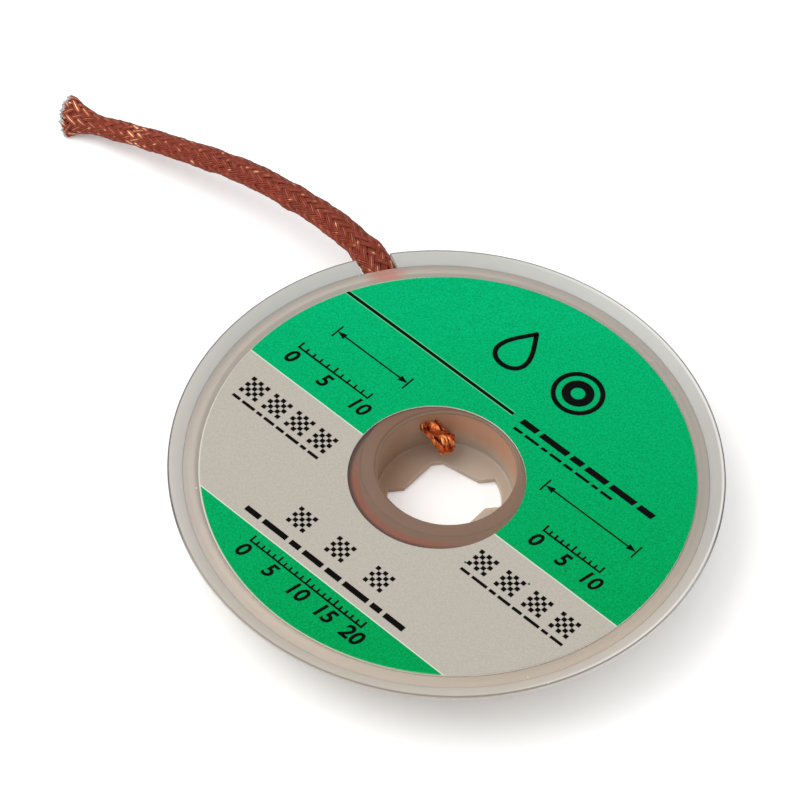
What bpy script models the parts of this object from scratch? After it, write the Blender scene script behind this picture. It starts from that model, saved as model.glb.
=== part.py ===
"""Desoldering braid wound on a small moulded spool, lying on its back with its free end drawn out.

The spool is two mouldings: a dish with the hub and its keyed floor in one, and a front disc that seats
on the hub's shoulder and on a ledge inside the dish's flared rim. The copper braid lies between them in
a flat spiral, comes out under the disc's edge through a dip in the rim, and its inner end is hooked
through a slot in the hub. A paper label covers the disc.

Metres, +Z up. The origin is on the spool's axis at the floor. +Y points away from the viewer.
"""

import math

import bmesh
import bpy
from mathutils import Matrix, Vector

# Clearances
SEAT_GAP = 0.0003          # between a piece and what carries it
LABEL_GAP = 0.0001         # the glue under the label
CUT_MARGIN = 0.001         # how far a cutter reaches past what it cuts

# Braid
BRAID_WIDTH = 0.0035       # flat width, along the spool's axis
BRAID_THICKNESS = 0.00087  # one turn of the spiral
COIL_TURNS = 15
TURN_RELIEF = 0.00025      # how deep the valleys between turns lie on the coil's faces
TAIL_DIAMETER = 0.0022     # the free end, drawn narrower and rounder than the flat braid
HOOK_DIAMETER = 0.0015     # the inner end, pinched where it passes the hub

# Hub
BORE_RADIUS = 0.0069
BORE_CHAMFER = 0.0004
SPIGOT_WALL = 0.0016       # the hub's wall where the front disc goes round it
SHOULDER_WIDTH = 0.0007    # the step that carries the front disc

# Dish
FLOOR_THICKNESS = 0.0006
COIL_HEADROOM = 0.0003     # free height between the coil and the level of the seats
FOOT_WIDTH = 0.0002        # how far the floor's lower edge reaches past its inner corner
FLARE = 0.00315            # how far the wall leans out between the floor and the disc's pocket
DISH_WALL = 0.00075
LEDGE_WIDTH = 0.0007       # the step inside the rim that carries the disc's edge
RIM_OVERHANG = 0.0015      # how far the rim reaches out past the disc's pocket
RIM_LIFT = 0.0006          # how far the rim stands above the front disc
RIM_CREST = 0.0002         # the rounding along the rim's crest
RIM_EDGE_HEIGHT = 0.0006   # the rim's outer edge, crest included

# Front disc
DISC_THICKNESS = 0.0008
DISC_BEVEL_WIDTH = 0.0009
DISC_BEVEL_DEPTH = 0.00025

# Label
LABEL_THICKNESS = 0.00012
LABEL_MARGIN = 0.0016      # bare plastic between the label and the disc's edge
LABEL_HOLE_RADIUS = 0.0090
LABEL_HOLE_SHIFT = (-0.0012, -0.0016)   # the hole was punched off centre

# Keyed opening in the hub's floor
KEY_ANGLE = 8.5            # degrees from +X to the line through the two key slots
KEY_SLOT_REACH = 0.0057
KEY_SLOT_HALF_WIDTH = 0.00178
KEY_SHOULDER = 0.0038      # where the slots meet the sloping sides
KEY_APEX = 0.00455         # half the distance between the two short flats
KEY_APEX_HALF_WIDTH = 0.0006

# The free end's route in millimetres, from the coil's outer turn, over the rim and down to the floor.
# The first points lie under the disc, and the last is the cut tip, which touches the floor.
TAIL_ROUTE_MM = [
    (-4.2, 22.95, 3.6), (-5.2, 24.7, 3.65), (-6.45, 26.6, 4.0), (-8.3, 29.0, 4.6), (-10.75, 31.4, 4.95),
    (-13.3, 33.65, 5.0), (-16.0, 35.75, 4.9), (-18.75, 37.9, 4.65), (-21.6, 39.85, 4.25),
    (-24.6, 41.6, 3.8), (-27.6, 43.2, 3.3), (-30.6, 44.8, 2.75), (-33.7, 46.3, 2.2),
    (-36.8, 47.8, 1.65), (-40.1, 49.5, 1.2),
]
TAIL_SAMPLES = 24
EXIT_POINT_INDEX = 2       # the route's point in the middle of the rim
EXIT_HEADING = 122.0       # degrees from +X, the way the braid leaves
EXIT_WIDTH = 0.0034        # the dip in the rim
EXIT_REACH = 0.0040        # how far the dip's cutter runs either way from its point

# The inner end's route through the hub's slot, in millimetres: how far out from the bore's wall, how far
# sideways, and how far below the front disc's face. Its first point lies at the hub's outer side instead.
HOOK_START_MM = (0.0, 0.1, 1.9)
HOOK_ROUTE_MM = [
    (1.45, 0.05, 1.45), (0.5, -0.05, 0.95), (-0.65, -0.3, 0.75),
    (-1.85, -0.8, 0.85), (-2.87, -1.37, 1.3), (-3.54, -1.7, 1.9),
]
HOOK_SAMPLES = 11
HOOK_ANGLE = 111.5         # degrees from +X to the hub's slot

# Roundness
SPOOL_STEPS = 80
COIL_STEPS = 48
LABEL_STEPS = 96
KEY_ARC_STEPS = 6
CORD_BEVEL_STEPS = 2
SHARP_ANGLE_DEGREES = 30

# Sizes that follow from those above
SPIGOT_RADIUS = BORE_RADIUS + SPIGOT_WALL
SHOULDER_RADIUS = SPIGOT_RADIUS + SHOULDER_WIDTH
COIL_BORE_RADIUS = SHOULDER_RADIUS + SEAT_GAP
COIL_RADIUS = COIL_BORE_RADIUS + COIL_TURNS * BRAID_THICKNESS
FLOOR_RADIUS = COIL_RADIUS + SEAT_GAP
COIL_BASE = FLOOR_THICKNESS + SEAT_GAP
COIL_TOP = COIL_BASE + BRAID_WIDTH
SEAT_HEIGHT = COIL_TOP + COIL_HEADROOM
DISC_BASE = SEAT_HEIGHT + SEAT_GAP
DISC_TOP = DISC_BASE + DISC_THICKNESS
RIM_TOP = DISC_TOP + RIM_LIFT
POCKET_RADIUS = FLOOR_RADIUS + FLARE
DISC_RADIUS = POCKET_RADIUS - SEAT_GAP
RIM_RADIUS = POCKET_RADIUS + RIM_OVERHANG
LABEL_RADIUS = DISC_RADIUS - LABEL_MARGIN
LABEL_BASE = DISC_TOP + LABEL_GAP
EXIT_FLOOR = TAIL_ROUTE_MM[0][2] / 1000 - TAIL_DIAMETER / 2 - SEAT_GAP
HOOK_SLOT_WIDTH = HOOK_DIAMETER + 2 * SEAT_GAP
HOOK_SLOT_FLOOR = DISC_TOP - HOOK_START_MM[2] / 1000 - HOOK_DIAMETER / 2 - SEAT_GAP


def clear_scene():
    for old in list(bpy.data.objects):
        bpy.data.objects.remove(old, do_unlink=True)


def make_material(name, colour, roughness, metallic, alpha=1.0):
    made = bpy.data.materials.new(name)
    made.use_nodes = True
    shader = made.node_tree.nodes["Principled BSDF"]
    shader.inputs["Base Color"].default_value = (*colour, 1.0)
    shader.inputs["Roughness"].default_value = roughness
    shader.inputs["Metallic"].default_value = metallic
    shader.inputs["Alpha"].default_value = alpha
    return made


def add_object(name, data, finish=None):
    """Link a new object. Meshes get smooth shading with their corners kept sharp."""
    made = bpy.data.objects.new(name, data)
    bpy.context.scene.collection.objects.link(made)
    if finish is not None:
        data.materials.append(finish)
    if isinstance(data, bpy.types.Mesh):
        data.shade_smooth()
        data.set_sharp_from_angle(angle=math.radians(SHARP_ANGLE_DEGREES))
    return made


def turned_mesh(name, profile, steps):
    """Spin a closed outline of (radius, height) points once round the Z axis."""
    shape = bmesh.new()
    corners = [shape.verts.new((radius, 0.0, height)) for radius, height in profile]
    edges = [shape.edges.new((corners[i - 1], corners[i])) for i in range(len(corners))]
    bmesh.ops.spin(
        shape, geom=corners + edges, cent=(0, 0, 0), axis=(0, 0, 1), angle=math.tau, steps=steps
    )
    bmesh.ops.remove_doubles(shape, verts=shape.verts, dist=1e-7)
    bmesh.ops.recalc_face_normals(shape, faces=shape.faces)
    mesh = bpy.data.meshes.new(name)
    shape.to_mesh(mesh)
    shape.free()
    return mesh


def prism_mesh(name, outline, low, high):
    """Raise a flat outline of (x, y) points from one height to another."""
    shape = bmesh.new()
    face = shape.faces.new([shape.verts.new((x, y, low)) for x, y in outline])
    raised = bmesh.ops.extrude_face_region(shape, geom=[face])["geom"]
    lifted = [item for item in raised if isinstance(item, bmesh.types.BMVert)]
    bmesh.ops.translate(shape, verts=lifted, vec=(0, 0, high - low))
    bmesh.ops.recalc_face_normals(shape, faces=shape.faces)
    mesh = bpy.data.meshes.new(name)
    shape.to_mesh(mesh)
    shape.free()
    return mesh


def circle_outline(radius, steps, centre=(0.0, 0.0)):
    angles = [math.tau * i / steps for i in range(steps)]
    return [(centre[0] + radius * math.cos(a), centre[1] + radius * math.sin(a)) for a in angles]


def cut(body, cutter):
    """Take the cutter's shape out of the body and hide the cutter."""
    cutter.hide_render = True
    cutter.display_type = "WIRE"
    modifier = body.modifiers.new(cutter.name, "BOOLEAN")
    modifier.operation = "DIFFERENCE"
    modifier.solver = "EXACT"
    modifier.object = cutter


def dish_profile():
    """Half section of the dish: floor, leaning wall, flared rim, disc pocket, hub and its floor."""
    pilot = KEY_SLOT_HALF_WIDTH
    return [
        (pilot, 0.0),
        (FLOOR_RADIUS + FOOT_WIDTH, 0.0),
        (POCKET_RADIUS + DISH_WALL, SEAT_HEIGHT),
        (RIM_RADIUS, RIM_TOP - RIM_EDGE_HEIGHT),
        (RIM_RADIUS, RIM_TOP - RIM_CREST),
        (RIM_RADIUS - RIM_CREST, RIM_TOP),
        (POCKET_RADIUS, DISC_TOP - RIM_CREST),
        (POCKET_RADIUS, SEAT_HEIGHT),
        (POCKET_RADIUS - LEDGE_WIDTH, SEAT_HEIGHT),
        (FLOOR_RADIUS, FLOOR_THICKNESS),
        (SHOULDER_RADIUS, FLOOR_THICKNESS),
        (SHOULDER_RADIUS, SEAT_HEIGHT),
        (SPIGOT_RADIUS, SEAT_HEIGHT),
        (SPIGOT_RADIUS, DISC_TOP),
        (BORE_RADIUS + BORE_CHAMFER, DISC_TOP),
        (BORE_RADIUS, DISC_TOP - BORE_CHAMFER),
        (BORE_RADIUS, FLOOR_THICKNESS),
        (pilot, FLOOR_THICKNESS),
    ]


def key_outline():
    """The opening in the hub's floor: two slots with round ends, and sloping sides up to short flats."""
    half_arc = math.asin(KEY_SLOT_HALF_WIDTH / KEY_SLOT_REACH)
    arc = [half_arc * (2 * i / KEY_ARC_STEPS - 1) for i in range(KEY_ARC_STEPS + 1)]
    right = [(KEY_APEX_HALF_WIDTH, -KEY_APEX), (KEY_SHOULDER, -KEY_SLOT_HALF_WIDTH)]
    right += [(KEY_SLOT_REACH * math.cos(a), KEY_SLOT_REACH * math.sin(a)) for a in arc]
    right += [(KEY_SHOULDER, KEY_SLOT_HALF_WIDTH), (KEY_APEX_HALF_WIDTH, KEY_APEX)]
    return right + [(-x, -y) for x, y in right]


def coil_profile():
    """Half section of the wound braid, with a valley between turns on both faces."""
    upper, lower = [], []
    for turn in range(COIL_TURNS):
        inner = COIL_BORE_RADIUS + turn * BRAID_THICKNESS
        middle = inner + BRAID_THICKNESS / 2
        lower += [(inner, COIL_BASE + TURN_RELIEF), (middle, COIL_BASE)]
        upper += [(inner, COIL_TOP - TURN_RELIEF), (middle, COIL_TOP)]
    lower.append((COIL_RADIUS, COIL_BASE + TURN_RELIEF))
    upper.append((COIL_RADIUS, COIL_TOP - TURN_RELIEF))
    return lower + upper[::-1]


def hook_points():
    """The inner end's points in metres, turned from the slot's own directions into X, Y and Z."""
    slot = Matrix.Rotation(math.radians(HOOK_ANGLE), 3, "Z")
    starts = [(SHOULDER_RADIUS, HOOK_START_MM)] + [(BORE_RADIUS, step) for step in HOOK_ROUTE_MM]
    return [
        slot @ Vector((radius + out / 1000, sideways / 1000, DISC_TOP - below / 1000))
        for radius, (out, sideways, below) in starts
    ]


def smooth_route(points, samples):
    """Evenly spaced points along a smooth curve through the route's points."""
    padded = [2 * points[0] - points[1], *points, 2 * points[-1] - points[-2]]
    dense = []
    for before, start, end, after in zip(padded, padded[1:], padded[2:], padded[3:]):
        for step in range(8):
            t = step / 8
            bend = 2 * before - 5 * start + 4 * end - after
            twist = -before + 3 * start - 3 * end + after
            dense.append((2 * start + (end - before) * t + bend * t * t + twist * t**3) / 2)
    dense.append(points[-1])
    travelled = [0.0]
    for a, b in zip(dense, dense[1:]):
        travelled.append(travelled[-1] + (b - a).length)
    even, place = [], 0
    for i in range(samples):
        goal = travelled[-1] * i / (samples - 1)
        while place < len(dense) - 2 and travelled[place + 1] < goal:
            place += 1
        share = (goal - travelled[place]) / (travelled[place + 1] - travelled[place])
        even.append(dense[place].lerp(dense[place + 1], share))
    return even


def cord_curve(name, points, diameter):
    """A round cord of one open spline with flat filled ends."""
    curve = bpy.data.curves.new(name, "CURVE")
    curve.dimensions = "3D"
    curve.bevel_depth = diameter / 2
    curve.bevel_resolution = CORD_BEVEL_STEPS
    curve.use_fill_caps = True
    spline = curve.splines.new("POLY")
    spline.points.add(len(points) - 1)
    for knot, place in zip(spline.points, points):
        knot.co = (*place, 1.0)
    return curve


def make_dish(plastic):
    dish = add_object("spool_dish", turned_mesh("spool_dish", dish_profile(), SPOOL_STEPS), plastic)
    key = prism_mesh("key_cutter", key_outline(), -CUT_MARGIN, FLOOR_THICKNESS + CUT_MARGIN)
    key_cutter = add_object("key_cutter", key)
    key_cutter.rotation_euler.z = math.radians(KEY_ANGLE)
    cut(dish, key_cutter)

    reach, half = EXIT_REACH, EXIT_WIDTH / 2
    outline = [(-reach, -half), (reach, -half), (reach, half), (-reach, half)]
    exit_mesh = prism_mesh("exit_cutter", outline, EXIT_FLOOR, RIM_TOP + CUT_MARGIN)
    exit_cutter = add_object("exit_cutter", exit_mesh)
    exit_point = Vector(TAIL_ROUTE_MM[EXIT_POINT_INDEX]) / 1000
    exit_cutter.location = (exit_point.x, exit_point.y, 0.0)
    exit_cutter.rotation_euler.z = math.radians(EXIT_HEADING)
    cut(dish, exit_cutter)

    half = HOOK_SLOT_WIDTH / 2
    inner, outer = BORE_RADIUS - CUT_MARGIN, SHOULDER_RADIUS + SEAT_GAP
    outline = [(inner, -half), (outer, -half), (outer, half), (inner, half)]
    hook_mesh = prism_mesh("hook_cutter", outline, HOOK_SLOT_FLOOR, DISC_TOP + CUT_MARGIN)
    hook_cutter = add_object("hook_cutter", hook_mesh)
    hook_cutter.rotation_euler.z = math.radians(HOOK_ANGLE)
    cut(dish, hook_cutter)
    return dish


def make_front_disc(plastic):
    hole = SPIGOT_RADIUS + SEAT_GAP
    profile = [
        (hole, DISC_BASE),
        (DISC_RADIUS, DISC_BASE),
        (DISC_RADIUS, DISC_TOP - DISC_BEVEL_DEPTH),
        (DISC_RADIUS - DISC_BEVEL_WIDTH, DISC_TOP),
        (hole, DISC_TOP),
    ]
    return add_object("front_disc", turned_mesh("front_disc", profile, SPOOL_STEPS), plastic)


def make_label(paper):
    top = LABEL_BASE + LABEL_THICKNESS
    sheet = prism_mesh("label", circle_outline(LABEL_RADIUS, LABEL_STEPS), LABEL_BASE, top)
    label = add_object("label", sheet, paper)
    punch = circle_outline(LABEL_HOLE_RADIUS, LABEL_STEPS // 2, LABEL_HOLE_SHIFT)
    punch_mesh = prism_mesh("label_cutter", punch, LABEL_BASE - CUT_MARGIN, top + CUT_MARGIN)
    cut(label, add_object("label_cutter", punch_mesh))
    return label


def make_braid(copper):
    add_object("braid_coil", turned_mesh("braid_coil", coil_profile(), COIL_STEPS), copper)
    tail = smooth_route([Vector(point) / 1000 for point in TAIL_ROUTE_MM], TAIL_SAMPLES)
    add_object("braid_tail", cord_curve("braid_tail", tail, TAIL_DIAMETER), copper)
    hook = smooth_route(hook_points(), HOOK_SAMPLES)
    add_object("braid_inner_end", cord_curve("braid_inner_end", hook, HOOK_DIAMETER), copper)


def build():
    clear_scene()
    make_dish(make_material("spool_plastic", (0.62, 0.58, 0.53), 0.35, 0.0))
    make_front_disc(make_material("disc_plastic", (0.60, 0.55, 0.50), 0.35, 0.0))
    make_label(make_material("label_paper", (0.01, 0.42, 0.15), 0.45, 0.0))
    make_braid(make_material("copper", (0.42, 0.12, 0.06), 0.4, 1.0))


build()
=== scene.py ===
# %% [markdown]
# # A small spool of desoldering braid
#
# Desoldering braid is a flat sleeve woven from fine copper wire. It is laid on a solder joint under a hot
# iron and soaks up the molten solder. Here about one and a half metres of it lie wound in a milky plastic
# spool with a paper label, with the free end drawn out over the rim.
#
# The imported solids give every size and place. The cells below dress them: each surface is worked out with
# numpy as a function of two parameters and put into a mesh, and each finish is built from shader nodes.

import math

import bmesh
import bpy
import numpy as np
from mathutils import Matrix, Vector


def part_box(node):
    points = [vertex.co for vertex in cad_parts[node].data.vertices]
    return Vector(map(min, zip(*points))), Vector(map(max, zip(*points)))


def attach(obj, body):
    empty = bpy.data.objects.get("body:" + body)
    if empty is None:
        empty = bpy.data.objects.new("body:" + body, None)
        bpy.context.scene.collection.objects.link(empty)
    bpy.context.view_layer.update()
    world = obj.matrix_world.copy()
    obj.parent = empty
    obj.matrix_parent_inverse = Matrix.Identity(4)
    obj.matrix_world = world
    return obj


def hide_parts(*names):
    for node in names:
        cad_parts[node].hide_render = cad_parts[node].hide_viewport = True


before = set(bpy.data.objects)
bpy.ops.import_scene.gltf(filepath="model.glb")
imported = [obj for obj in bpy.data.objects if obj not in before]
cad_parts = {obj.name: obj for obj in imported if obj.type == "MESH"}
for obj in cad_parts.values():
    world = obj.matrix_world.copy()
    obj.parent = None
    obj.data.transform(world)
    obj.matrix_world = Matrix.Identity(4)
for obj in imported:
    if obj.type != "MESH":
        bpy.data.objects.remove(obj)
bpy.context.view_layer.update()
MM = 0.001
for node_name in sorted(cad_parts):
    low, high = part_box(node_name)
    print(node_name, "z from", round(low.z / MM, 2), "to", round(high.z / MM, 2), "mm")

# %% [markdown]
# ## The camera
#
# The photograph looks down on the spool at about 52 degrees, slightly rolled, with a long lens. A long lens
# far away keeps the ellipse of the rim even. The place and the directions were worked out by fitting the
# circles of the rim, the label and the bore to what the photograph shows.

# %% Camera
CAMERA_PLACE_MM = (-15.4, -225.5, 304.27)
CAMERA_RIGHT = np.array([0.99935, 0.0, 0.0361])
CAMERA_BACK = np.array([-0.02843, -0.6162, 0.7871])


def add_camera(place_mm, right, back, lens):
    """A camera whose own X axis is `right` and whose own Z axis is `back`. Its Y axis is their product."""
    data = bpy.data.cameras.new("photo_camera")
    data.lens = lens
    data.sensor_width = 36.0
    data.clip_start, data.clip_end = 0.01, 10.0
    made = bpy.data.objects.new("photo_camera", data)
    bpy.context.scene.collection.objects.link(made)
    right, back = right / np.linalg.norm(right), back / np.linalg.norm(back)
    up = np.cross(back, right)
    matrix = np.eye(4)
    matrix[:3, 0], matrix[:3, 1], matrix[:3, 2] = right, up, back
    matrix[:3, 3] = np.array(place_mm) * MM
    made.matrix_world = Matrix(matrix.tolist())
    return made


camera = add_camera(CAMERA_PLACE_MM, CAMERA_RIGHT, CAMERA_BACK, 171.0)
bpy.context.scene.camera = camera
bpy.context.scene.view_settings.view_transform = "Standard"
print("camera elevation", round(math.degrees(math.asin(CAMERA_BACK[2])), 1), "degrees")

# %% [markdown]
# ## Surfaces from grids of points
#
# Nearly every piece here is a grid of points that closes on itself: a lathe shape closes both round its
# section and round the axis, and a wire closes round its section and has an end at each side. So one helper
# joins a grid into four-sided faces, and one puts points and faces into a mesh. The signed volume of the
# faces tells whether they look outwards, and if it is negative all of them are turned.

# %% Grid and mesh helpers


def joined(index, wrap_rows, wrap_columns):
    """Four-sided faces between the neighbours of a grid of point numbers, for any number of grids at once.
    Corner (i, j) is joined to (i, j+1), (i+1, j+1) and (i+1, j). A wrapped side joins its last row or column
    to its first."""
    right = np.roll(index, -1, -1)
    below = np.roll(index, -1, -2)
    across = np.roll(below, -1, -1)
    faces = np.stack([index, right, across, below], -1)
    faces = faces if wrap_rows else faces[..., :-1, :, :]
    faces = faces if wrap_columns else faces[..., :, :-1, :]
    return faces.reshape(-1, 4)


def unit(vectors):
    """Vectors of length one along the last axis."""
    return vectors / np.linalg.norm(vectors, axis=-1, keepdims=True)


def signed_volume(points, faces):
    """Sum of the tetrahedra from the origin to each fan of triangles in the faces."""
    a = points[faces[:, 0]]
    total = 0.0
    for k in range(1, faces.shape[1] - 1):
        total += np.einsum("ij,ij->", a, np.cross(points[faces[:, k]], points[faces[:, k + 1]])) / 6
    return total


def new_mesh(name, points, face_sets, smooth_degrees=30.0):
    """A mesh of points (n, 3) and sets of faces (m, k), turned to look outwards and shaded smooth where they
    meet at less than an angle."""
    points = np.asarray(points, float).reshape(-1, 3)
    volume = sum(signed_volume(points, faces) for faces in face_sets)
    if volume < 0:
        face_sets = [faces[:, ::-1] for faces in face_sets]
    corners = np.concatenate([faces.ravel() for faces in face_sets]).astype(np.int32)
    sizes = np.concatenate([np.full(len(faces), faces.shape[1]) for faces in face_sets])
    mesh = bpy.data.meshes.new(name)
    mesh.vertices.add(len(points))
    mesh.vertices.foreach_set("co", points.astype(np.float32).ravel())
    mesh.loops.add(len(corners))
    mesh.loops.foreach_set("vertex_index", corners)
    mesh.polygons.add(len(sizes))
    starts = np.concatenate([[0], np.cumsum(sizes)[:-1]]).astype(np.int32)
    mesh.polygons.foreach_set("loop_start", starts)
    mesh.update(calc_edges=True)
    mesh.validate()
    mesh.shade_smooth()
    mesh.set_sharp_from_angle(angle=math.radians(smooth_degrees))
    return mesh


def new_piece(name, mesh, finish, *nodes, slot=None):
    """Link a piece, give it its finish, let it ride on the part and stand for the CAD nodes named."""
    made = bpy.data.objects.new(name, mesh)
    bpy.context.scene.collection.objects.link(made)
    mesh.materials.clear()
    mesh.materials.append(finish)
    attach(made, "root")
    if nodes:
        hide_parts(*nodes)
    print(name, len(mesh.polygons), "faces")
    return made


# %% [markdown]
# ## Effects that several finishes share
#
# Every real surface here is slightly uneven: the plastic is cloudy, the print is grainy, and wire and
# plastic carry dust. These effects are built once as shader node groups with named inputs, and each
# material places them with its own values. They put out only colours and masks, so the light itself is
# still handled by the Principled shader in each material.

# %% Shared shader node groups


def add_node(tree, kind, settings=None, values=None):
    """A node of one kind, with settings as attributes. Each of its sockets named in `values` gets a link
    where the value is another node's socket, and a plain value otherwise."""
    made = tree.nodes.new(kind)
    for key, value in (settings or {}).items():
        setattr(made, key, value)
    for key, value in (values or {}).items():
        if isinstance(value, bpy.types.NodeSocket):
            tree.links.new(value, made.inputs[key])
        else:
            made.inputs[key].default_value = value
    return made


def maths(tree, operation, *values):
    """The result of a Math node: one operation on one or two values."""
    return add_node(tree, "ShaderNodeMath", {"operation": operation}, dict(enumerate(values))).outputs[0]


def new_group(name, inputs, outputs):
    """An empty shader node group with named sockets. Inputs come as (name, kind, value)."""
    group = bpy.data.node_groups.new(name, "ShaderNodeTree")
    for label, kind, value in inputs:
        socket = group.interface.new_socket(label, in_out="INPUT", socket_type=kind)
        if value is not None:
            socket.default_value = value
    for label, kind in outputs:
        group.interface.new_socket(label, in_out="OUTPUT", socket_type=kind)
    return group, group.nodes.new("NodeGroupInput"), group.nodes.new("NodeGroupOutput")


def make_mottle_group():
    """Two colours mixed by cloudy noise: share = 0.5 + strength * (noise - 0.5). The height is the noise."""
    group, inlet, outlet = new_group(
        "mottle",
        [
            ("Vector", "NodeSocketVector", None),
            ("Scale", "NodeSocketFloat", 400.0),
            ("Strength", "NodeSocketFloat", 1.0),
            ("First Color", "NodeSocketColor", (1, 1, 1, 1)),
            ("Second Color", "NodeSocketColor", (0, 0, 0, 1)),
        ],
        [("Color", "NodeSocketColor"), ("Height", "NodeSocketFloat")],
    )
    place, scale = inlet.outputs["Vector"], inlet.outputs["Scale"]
    cloud = {"Vector": place, "Scale": scale, "Detail": 5.0, "Roughness": 0.62}
    noise = add_node(group, "ShaderNodeTexNoise", None, cloud)
    centred = maths(group, "SUBTRACT", noise.outputs["Fac"], 0.5)
    scaled = maths(group, "MULTIPLY", centred, inlet.outputs["Strength"])
    share = add_node(group, "ShaderNodeMath", {"operation": "ADD", "use_clamp": True}, {0: scaled, 1: 0.5})
    mix = add_node(
        group, "ShaderNodeMix", {"data_type": "RGBA"},
        {"Factor": share.outputs[0], 6: inlet.outputs["First Color"], 7: inlet.outputs["Second Color"]},
    )
    group.links.new(mix.outputs[2], outlet.inputs["Color"])
    group.links.new(noise.outputs["Fac"], outlet.inputs["Height"])
    return group


def make_speck_group():
    """A mask of small round specks: cells of a Voronoi pattern closer to their point than a size, where a
    second, coarser noise lets them through."""
    group, inlet, outlet = new_group(
        "specks",
        [
            ("Vector", "NodeSocketVector", None),
            ("Scale", "NodeSocketFloat", 900.0),
            ("Size", "NodeSocketFloat", 0.12),
            ("Cover", "NodeSocketFloat", 0.5),
        ],
        [("Mask", "NodeSocketFloat")],
    )
    place, scale = inlet.outputs["Vector"], inlet.outputs["Scale"]
    cells = add_node(group, "ShaderNodeTexVoronoi", None, {"Vector": place, "Scale": scale})
    near = maths(group, "LESS_THAN", cells.outputs["Distance"], inlet.outputs["Size"])
    coarse = maths(group, "MULTIPLY", scale, 0.13)
    patches = add_node(group, "ShaderNodeTexNoise", None, {"Vector": place, "Scale": coarse, "Detail": 2.0})
    let_through = maths(group, "GREATER_THAN", patches.outputs["Fac"], inlet.outputs["Cover"])
    group.links.new(maths(group, "MULTIPLY", near, let_through), outlet.inputs["Mask"])
    return group


MOTTLE = make_mottle_group()
SPECKS = make_speck_group()
print("shared groups:", MOTTLE.name, SPECKS.name)

# %% Start of a finish


def new_finish(name, **plain):
    """A material with a Principled shader. Values that are the same all over go on its own sockets."""
    made = bpy.data.materials.new(name)
    made.use_nodes = True
    shader = made.node_tree.nodes["Principled BSDF"]
    for key, value in plain.items():
        shader.inputs[key.replace("_", " ")].default_value = value
    return made, made.node_tree, shader


def place_of(tree):
    """The place on the piece, as one vector and as a node that splits it into X, Y and Z."""
    place = add_node(tree, "ShaderNodeTexCoord").outputs["Object"]
    return place, add_node(tree, "ShaderNodeSeparateXYZ", None, {"Vector": place})


def place_group(tree, group, vector, **values):
    """Place a shared group in a material, fed by a vector, with this material's own values."""
    named = {key.replace("_", " "): value for key, value in values.items()}
    return add_node(tree, "ShaderNodeGroup", {"node_tree": group}, {"Vector": vector, **named})


# %% Colour, roughness and bump


def layered(tree, under, over, mask):
    """One colour laid over another by a mask. A colour is a socket or four numbers."""
    values = {"Factor": mask, 6: under, 7: over}
    return add_node(tree, "ShaderNodeMix", {"data_type": "RGBA"}, values).outputs[2]


def add_surface(tree, shader, colour, value, rough_at_0, rough_at_1):
    """Feed the shader a colour, and a roughness that follows a value from 0 to 1."""
    rough = add_node(tree, "ShaderNodeMapRange", None, {"Value": value, 3: rough_at_0, 4: rough_at_1})
    tree.links.new(colour, shader.inputs["Base Color"])
    tree.links.new(rough.outputs["Result"], shader.inputs["Roughness"])


def add_bump(tree, shader, height, distance, strength=1.0):
    """Feed a height through a Bump node into the shader's Normal."""
    values = {"Height": height, "Distance": distance, "Strength": strength}
    bump = add_node(tree, "ShaderNodeBump", None, values)
    tree.links.new(bump.outputs["Normal"], shader.inputs["Normal"])


# %% [markdown]
# ## The milky plastic
#
# The spool is polypropylene without pigment: milky, faintly grey-beige and satin. Light goes through it, so
# the white table shows in the rim, and copper shows brown behind the hub's wall and pink where the free end
# goes under the disc. One way would be a thick volume, which is slow and noisy. Here the shader lets part of
# the light through its rough surface and scatters another part just below it. What lies behind each spot is
# known from the shape, so the warm shades of the copper are tints that depend on the place. The other tints
# by place are painted light and shade: on the sides of the dish and the disc, along the rim's edge and
# beside it, in the bore, beside the label's outer edge and under the edge of its hole.

# %% Masks by place
HOLE_CENTRE_MM = (-1.0, -1.4)


def ramp_mask(tree, value, full_mm, none_mm):
    """1 on the side of `full_mm`, 0 on the side of `none_mm`, and a straight ramp between the two."""
    limits = {"Value": value, 1: full_mm * MM, 2: none_mm * MM, 3: 1.0, 4: 0.0}
    return add_node(tree, "ShaderNodeMapRange", None, limits).outputs["Result"]


def flat_distance(tree, split, centre_mm=(0.0, 0.0)):
    """Distance in the plane from an upright axis through `centre_mm`."""
    flat = add_node(tree, "ShaderNodeCombineXYZ", None, {"X": split.outputs["X"], "Y": split.outputs["Y"]})
    ends = {0: flat.outputs["Vector"], 1: (centre_mm[0] * MM, centre_mm[1] * MM, 0.0)}
    return add_node(tree, "ShaderNodeVectorMath", {"operation": "DISTANCE"}, ends).outputs["Value"]


# %% Milky plastic


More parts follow.
